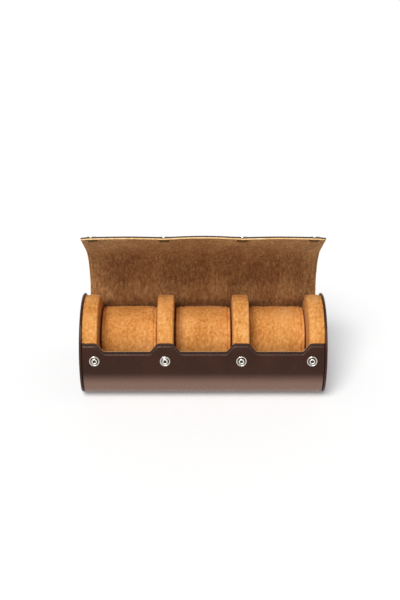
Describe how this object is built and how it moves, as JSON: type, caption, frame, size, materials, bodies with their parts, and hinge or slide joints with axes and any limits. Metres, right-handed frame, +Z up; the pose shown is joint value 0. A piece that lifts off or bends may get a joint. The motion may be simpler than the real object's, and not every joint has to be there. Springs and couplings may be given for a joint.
{
  "type": "watch roll case",
  "caption": "Round leather travel roll for wristwatches, with a snap-down flap over suede slots that each hold a lift-out cushion.",
  "frame": {"origin": "centre of the flat base, on the surface the roll stands on", "axes": "+X along the roll, -Y to the front with the snap studs, +Z up"},
  "size_m": [0.232, 0.1005, 0.1631],
  "materials": {
    "leather": "smooth semi-gloss dark brown",
    "suede": "soft tan microsuede",
    "foam": "plain foam",
    "board": "pressed board",
    "nickel": "polished nickel plate"
  },
  "bodies": {
    "base": {"divider_core_1": "board", "divider_core_2": "board", "divider_core_3": "board", "divider_core_4": "board", "divider_cover_1": "suede", "divider_cover_2": "suede", "divider_cover_3": "suede", "divider_cover_4": "suede", "end_board_left": "board", "end_board_right": "board", "end_leather_left": "leather", "end_leather_right": "leather", "shell_board": "board", "shell_leather": "leather", "shell_lining": "suede", "snap_studs": "nickel", "stud_rivets": "nickel"},
    "cushion_1": {"cushion_cover_1": "suede", "cushion_foam_1": "foam"},
    "cushion_2": {"cushion_cover_2": "suede", "cushion_foam_2": "foam"},
    "cushion_3": {"cushion_cover_3": "suede", "cushion_foam_3": "foam"},
    "flap_1": {"flap_leather_1": "leather", "flap_lining_1": "suede"},
    "flap_2": {"flap_leather_2": "leather", "flap_lining_2": "suede"},
    "flap_3": {"flap_leather_3": "leather", "flap_lining_3": "suede"},
    "flap_4": {"flap_leather_4": "leather", "flap_lining_4": "suede"},
    "flap_5": {"flap_leather_5": "leather", "flap_lining_5": "suede"},
    "flap_edge": {"flap_leather_edge": "leather", "flap_lining_edge": "suede", "snap_caps": "nickel", "snap_sockets": "nickel"}
  },
  "joints": [
    {"name": "flap_fold", "type": "hinge", "parent": "base", "child": "flap_1", "pos_m": [0, 0.043, 0.05683], "axis": [-1, 0, 0], "range_deg": [-52.27, 35]},
    {"name": "flap_flex_2", "type": "hinge", "parent": "flap_1", "child": "flap_2", "pos_m": [0, 0.04745, 0.07775], "axis": [-1, 0, 0], "range_deg": [-2.71, 1.82]},
    {"name": "flap_flex_3", "type": "hinge", "parent": "flap_2", "child": "flap_3", "pos_m": [0, 0.04367, 0.09915], "axis": [-1, 0, 0], "range_deg": [-2.71, 1.82]},
    {"name": "flap_flex_4", "type": "hinge", "parent": "flap_3", "child": "flap_4", "pos_m": [0, 0.03198, 0.11787], "axis": [-1, 0, 0], "range_deg": [-8.71, 5.84]},
    {"name": "flap_flex_5", "type": "hinge", "parent": "flap_4", "child": "flap_5", "pos_m": [0, 0.01533, 0.13286], "axis": [-1, 0, 0], "range_deg": [-24.71, 16.55]},
    {"name": "flap_edge_lift", "type": "hinge", "parent": "flap_5", "child": "flap_edge", "pos_m": [0, -0.00158, 0.14808], "axis": [-1, 0, 0], "range_deg": [-21, 20]},
    {"name": "cushion_lift_1", "type": "slide", "parent": "base", "child": "cushion_1", "axis": [0, -0.5446, 0.8387], "range_m": [0, 0.088]},
    {"name": "cushion_lift_2", "type": "slide", "parent": "base", "child": "cushion_2", "axis": [0, -0.5446, 0.8387], "range_m": [0, 0.088]},
    {"name": "cushion_lift_3", "type": "slide", "parent": "base", "child": "cushion_3", "axis": [0, -0.5446, 0.8387], "range_m": [0, 0.088]}
  ],
  "couplings": [
    {"joint": "flap_flex_2", "follows": "flap_fold", "ratio": 0.05168},
    {"joint": "flap_flex_3", "follows": "flap_fold", "ratio": 0.05166},
    {"joint": "flap_flex_4", "follows": "flap_fold", "ratio": 0.16644},
    {"joint": "flap_flex_5", "follows": "flap_fold", "ratio": 0.47254}
  ]
}
